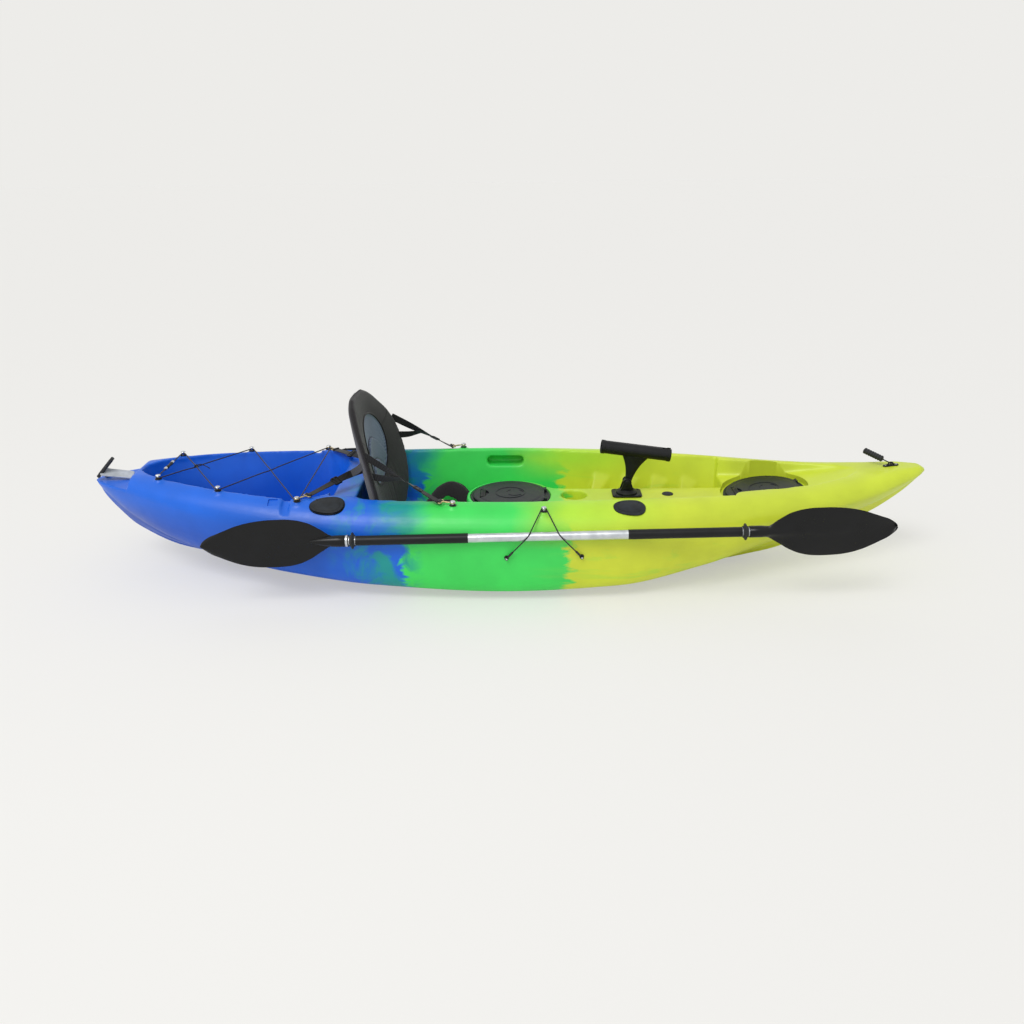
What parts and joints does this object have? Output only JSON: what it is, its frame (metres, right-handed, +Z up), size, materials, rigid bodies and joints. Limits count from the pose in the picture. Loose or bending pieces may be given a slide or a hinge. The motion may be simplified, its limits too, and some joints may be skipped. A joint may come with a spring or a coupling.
{
  "type": "fishing kayak",
  "caption": "Sit-on-top fishing kayak with tank well, padded seat, round hatches, swivelling rod holder, flush rod sockets, carry handles and a jointed paddle.",
  "frame": {"origin": "on the underside of the keel strip, at mid length and on the centre plane of the hull", "axes": "+X along the hull to the bow, +Y to port, +Z up from the keel"},
  "size_m": [2.95, 0.8164, 0.6205],
  "materials": {
    "hull_plastic": "satin moulded polyethylene, blue running through green to yellow",
    "lid_plastic": "satin, fine grain",
    "black_plastic": "satin",
    "cover_plastic": "satin, fine grain",
    "handle_plastic": "satin",
    "blade_plastic": "semi-gloss",
    "soft_rubber": "matte",
    "elastic_cord": "woven cover",
    "bright_steel": "polished",
    "hook_brass": "satin cast",
    "tube_aluminium": "satin drawn tube",
    "seat_fabric": "woven mesh with blue-grey panels",
    "webbing": "flat woven webbing"
  },
  "bodies": {
    "hull": {"hull": "hull_plastic", "center_hatch_rim": "black_plastic", "bow_hatch_rim": "black_plastic", "rod_holder_plate": "black_plastic", "vent_plug": "soft_rubber", "rod_socket_port": "black_plastic", "rod_socket_starboard": "black_plastic", "deck_cover_port": "cover_plastic", "deck_cover_starboard": "cover_plastic", "scupper_plug_aft_port": "soft_rubber", "scupper_plug_middle_port": "soft_rubber", "scupper_plug_fore_port": "soft_rubber", "scupper_plug_aft_starboard": "soft_rubber", "scupper_plug_middle_starboard": "soft_rubber", "scupper_plug_fore_starboard": "soft_rubber", "sounder_plate": "black_plastic", "lacing_button_aft_port": "bright_steel", "lacing_button_middle_port": "bright_steel", "lacing_button_fore_port": "bright_steel", "seat_button_port": "bright_steel", "lacing_button_aft_starboard": "bright_steel", "lacing_button_middle_starboard": "bright_steel", "lacing_button_fore_starboard": "bright_steel", "seat_button_starboard": "bright_steel", "lacing": "elastic_cord", "seat_pad": "seat_fabric", "front_strap_port": "webbing", "front_hook_port": "hook_brass", "rear_strap_port": "webbing", "rear_hook_port": "hook_brass", "front_strap_starboard": "webbing", "front_hook_starboard": "hook_brass", "rear_strap_starboard": "webbing", "rear_hook_starboard": "hook_brass", "bow_eye": "black_plastic", "stern_eye": "bright_steel", "paddle_button": "bright_steel", "keeper_hook_aft": "bright_steel", "keeper_hook_fore": "bright_steel", "keeper_cord": "elastic_cord"},
    "center_lid": {"center_hatch_lid": "lid_plastic"},
    "center_latch": {"center_hatch_latch": "black_plastic"},
    "bow_lid": {"bow_hatch_lid": "lid_plastic"},
    "bow_latch": {"bow_hatch_latch": "black_plastic"},
    "rod_turret": {"rod_holder_turret": "black_plastic", "rod_holder_bolt": "bright_steel"},
    "rod_tube": {"rod_holder_tube": "black_plastic"},
    "cap_port": {"rod_socket_cap_port": "cover_plastic"},
    "cap_starboard": {"rod_socket_cap_starboard": "cover_plastic"},
    "backrest": {"backrest": "seat_fabric"},
    "bow_handle": {"bow_toggle": "soft_rubber"},
    "stern_handle": {"stern_toggle": "handle_plastic"},
    "paddle_aft": {"paddle_shaft_aft": "tube_aluminium", "paddle_grip_aft": "black_plastic", "drip_ring_aft": "soft_rubber", "paddle_blade_aft": "blade_plastic"},
    "paddle_fore": {"paddle_shaft_fore": "tube_aluminium", "paddle_grip_fore": "black_plastic", "drip_ring_fore": "soft_rubber", "paddle_blade_fore": "blade_plastic"}
  },
  "joints": [
    {"name": "center_lid_hinge", "type": "hinge", "parent": "hull", "child": "center_lid", "pos_m": [0.13558, 0, 0.2476], "axis": [0, 1, 0], "range_deg": [0, 95]},
    {"name": "center_latch_lift", "type": "hinge", "parent": "center_lid", "child": "center_latch", "pos_m": [-0.0955, 0, 0.2499], "axis": [0, -1, 0], "range_deg": [0, 80]},
    {"name": "bow_lid_hinge", "type": "hinge", "parent": "hull", "child": "bow_lid", "pos_m": [1.0414, 0, 0.27307], "axis": [0, 1, 0], "range_deg": [0, 95]},
    {"name": "bow_latch_lift", "type": "hinge", "parent": "bow_lid", "child": "bow_latch", "pos_m": [0.81159, 0, 0.2488], "axis": [0, -1, 0], "range_deg": [0, 80]},
    {"name": "rod_swivel", "type": "hinge", "parent": "hull", "child": "rod_turret", "pos_m": [0.426, 0, 0.25], "axis": [0, 0, 1], "continuous": true},
    {"name": "rod_tilt", "type": "hinge", "parent": "rod_turret", "child": "rod_tube", "pos_m": [0.426, 0, 0.292], "axis": [0, 1, 0], "range_deg": [-50, 25]},
    {"name": "cap_hinge_port", "type": "hinge", "parent": "hull", "child": "cap_port", "pos_m": [-0.64556, 0.29555, 0.32496], "axis": [0, -0.9051, 0.4253], "range_deg": [0, 100]},
    {"name": "cap_hinge_starboard", "type": "hinge", "parent": "hull", "child": "cap_starboard", "pos_m": [-0.64556, -0.29555, 0.32496], "axis": [0, -0.9051, -0.4253], "range_deg": [0, 100]},
    {"name": "backrest_fold", "type": "hinge", "parent": "hull", "child": "backrest", "pos_m": [-0.42, 0, 0.15], "axis": [0, 1, 0], "range_deg": [0, 50], "deforming": ["front_strap_port", "front_strap_starboard", "rear_strap_port", "rear_strap_starboard"]},
    {"name": "bow_toggle_swing", "type": "hinge", "parent": "hull", "child": "bow_handle", "pos_m": [1.35513, 0, 0.35149], "axis": [0, 1, 0], "range_deg": [-10, 120]},
    {"name": "stern_handle_lift", "type": "hinge", "parent": "hull", "child": "stern_handle", "pos_m": [-1.325, 0, 0.3203], "axis": [-0.1392, 0.9903, 0], "range_deg": [0, 60]},
    {"name": "paddle_slide", "type": "slide", "parent": "hull", "child": "paddle_aft", "axis": [0.9998, 0, 0.0174], "range_m": [-0.1, 0.1]},
    {"name": "paddle_feather", "type": "hinge", "parent": "paddle_aft", "child": "paddle_fore", "pos_m": [0.134, -0.39935, 0.252], "axis": [0.9998, 0, 0.0174], "range_deg": [0, 60]}
  ]
}
